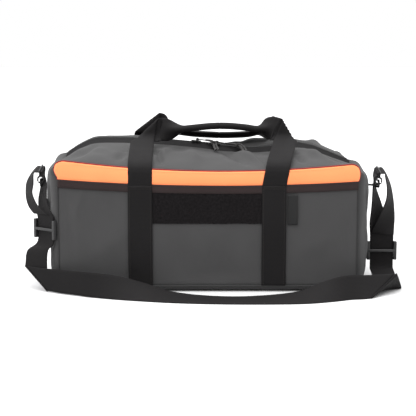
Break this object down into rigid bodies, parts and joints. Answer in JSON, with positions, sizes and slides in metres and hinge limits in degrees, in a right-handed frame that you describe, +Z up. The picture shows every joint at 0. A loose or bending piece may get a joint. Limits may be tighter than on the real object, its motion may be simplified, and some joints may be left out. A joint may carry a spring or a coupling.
{
  "type": "zipped duffel bag",
  "caption": "Zipped duffel gear bag with webbing carry handles, a bright front strip, a hook-and-loop field and a webbing shoulder strap on swivel hooks with slide adjusters.",
  "frame": {"origin": "on the floor under the middle of the bag, at the middle of the base panel's underside", "axes": "+X to the right seen from the front along the bag's length, the front faces -Y, +Z up"},
  "size_m": [0.6369, 0.3463, 0.283],
  "materials": {
    "grey_cloth": "woven, coated back",
    "orange_cloth": "woven, bright",
    "binding": "ribbed tape",
    "loop_pile": "looped pile",
    "label_cloth": "satin woven",
    "piping_cord": "covered cord",
    "zip_tape": "twill tape",
    "zip_coil": "moulded coil",
    "slider_metal": "black coated",
    "pull_cord": "braided",
    "hook_metal": "black coated",
    "adjuster_plastic": "moulded",
    "webbing": "heavy ribbed webbing"
  },
  "bodies": {
    "root": {"back_left_strap": "webbing", "back_panel": "grey_cloth", "back_piping": "piping_cord", "back_right_strap": "webbing", "base_panel": "grey_cloth", "front_left_strap": "webbing", "front_panel": "grey_cloth", "front_piping": "piping_cord", "front_right_strap": "webbing", "hi_vis_strip": "orange_cloth", "left_end_panel": "grey_cloth", "left_hook_eye": "hook_metal", "left_ring_tab": "webbing", "loop_field": "loop_pile", "right_end_panel": "grey_cloth", "right_hook_eye": "hook_metal", "right_ring_tab": "webbing", "shoulder_strap": "webbing", "side_label": "label_cloth", "strip_binding": "binding", "top_back_panel": "grey_cloth", "top_front_panel": "grey_cloth", "zip_tape_back": "zip_tape", "zip_tape_front": "zip_tape", "zip_teeth_back": "zip_coil", "zip_teeth_front": "zip_coil"},
    "front_handle": {"front_handle_grip": "webbing", "front_handle_left_leg": "webbing", "front_handle_right_leg": "webbing"},
    "back_handle": {"back_handle_grip": "webbing", "back_handle_left_leg": "webbing", "back_handle_right_leg": "webbing"},
    "left_slider": {"left_slider": "slider_metal"},
    "left_pull": {"left_pull_tab": "slider_metal", "left_pull_cord_a": "pull_cord", "left_pull_cord_b": "pull_cord", "left_pull_knot": "pull_cord"},
    "left_ring": {"left_d_ring": "hook_metal"},
    "left_hook": {"left_swivel_hook": "hook_metal"},
    "left_gate": {"left_gate": "hook_metal"},
    "left_adjuster": {"left_adjuster": "adjuster_plastic"},
    "right_slider": {"right_slider": "slider_metal"},
    "right_pull": {"right_pull_tab": "slider_metal", "right_pull_cord_a": "pull_cord", "right_pull_cord_b": "pull_cord", "right_pull_knot": "pull_cord"},
    "right_ring": {"right_d_ring": "hook_metal"},
    "right_hook": {"right_swivel_hook": "hook_metal"},
    "right_gate": {"right_gate": "hook_metal"},
    "right_adjuster": {"right_adjuster": "adjuster_plastic"}
  },
  "joints": [
    {"name": "front_handle_swing", "type": "hinge", "parent": "root", "child": "front_handle", "pos_m": [0, -0.1259, 0.1775], "axis": [1, 0, 0], "range_deg": [0, 150]},
    {"name": "back_handle_swing", "type": "hinge", "parent": "root", "child": "back_handle", "pos_m": [0, 0.1259, 0.1775], "axis": [-1, 0, 0], "range_deg": [0, 150]},
    {"name": "left_slider_travel", "type": "hinge", "parent": "root", "child": "left_slider", "pos_m": [-0.17, 0, -1.121], "axis": [0, -1, 0], "range_deg": [0, 6.6]},
    {"name": "right_slider_travel", "type": "hinge", "parent": "root", "child": "right_slider", "pos_m": [0.0684, 0, 0.578], "axis": [0, -1, 0], "range_deg": [0, 20.8]},
    {"name": "left_pull_flip", "type": "hinge", "parent": "left_slider", "child": "left_pull", "pos_m": [-0.0184, 0, 0.24421], "axis": [0, -1, 0], "range_deg": [0, 30]},
    {"name": "right_pull_flip", "type": "hinge", "parent": "right_slider", "child": "right_pull", "pos_m": [0.01587, 0, 0.23965], "axis": [0, -1, 0], "range_deg": [0, 30]},
    {"name": "left_ring_swing", "type": "hinge", "parent": "root", "child": "left_ring", "pos_m": [-0.288, -0.014, 0.1667], "axis": [0, 1, 0], "range_deg": [-8, 8]},
    {"name": "left_hook_swivel", "type": "hinge", "parent": "root", "child": "left_hook", "pos_m": [-0.288, -0.0289, 0.1773], "axis": [0, 0, 1], "range_deg": [-12, 12]},
    {"name": "left_gate_open", "type": "hinge", "parent": "left_hook", "child": "left_gate", "pos_m": [-0.2938, -0.0289, 0.1785], "axis": [0, -1, 0], "range_deg": [0, 18], "stiffness_Nm_per_rad": 0.01, "springref_deg": -5.73},
    {"name": "right_ring_swing", "type": "hinge", "parent": "root", "child": "right_ring", "pos_m": [0.294, -0.014, 0.1644], "axis": [0, 1, 0], "range_deg": [-8, 8]},
    {"name": "right_hook_swivel", "type": "hinge", "parent": "root", "child": "right_hook", "pos_m": [0.294, -0.0289, 0.175], "axis": [0, 0, 1], "range_deg": [-12, 12]},
    {"name": "right_gate_open", "type": "hinge", "parent": "right_hook", "child": "right_gate", "pos_m": [0.2998, -0.0289, 0.1762], "axis": [0, 1, 0], "range_deg": [0, 18], "stiffness_Nm_per_rad": 0.01, "springref_deg": -5.73},
    {"name": "left_adjuster_slide", "type": "slide", "parent": "root", "child": "left_adjuster", "axis": [0, 0, 1], "range_m": [-0.005, 0.004]},
    {"name": "right_adjuster_slide", "type": "slide", "parent": "root", "child": "right_adjuster", "axis": [0, 0, 1], "range_m": [-0.006, 0.006]}
  ]
}
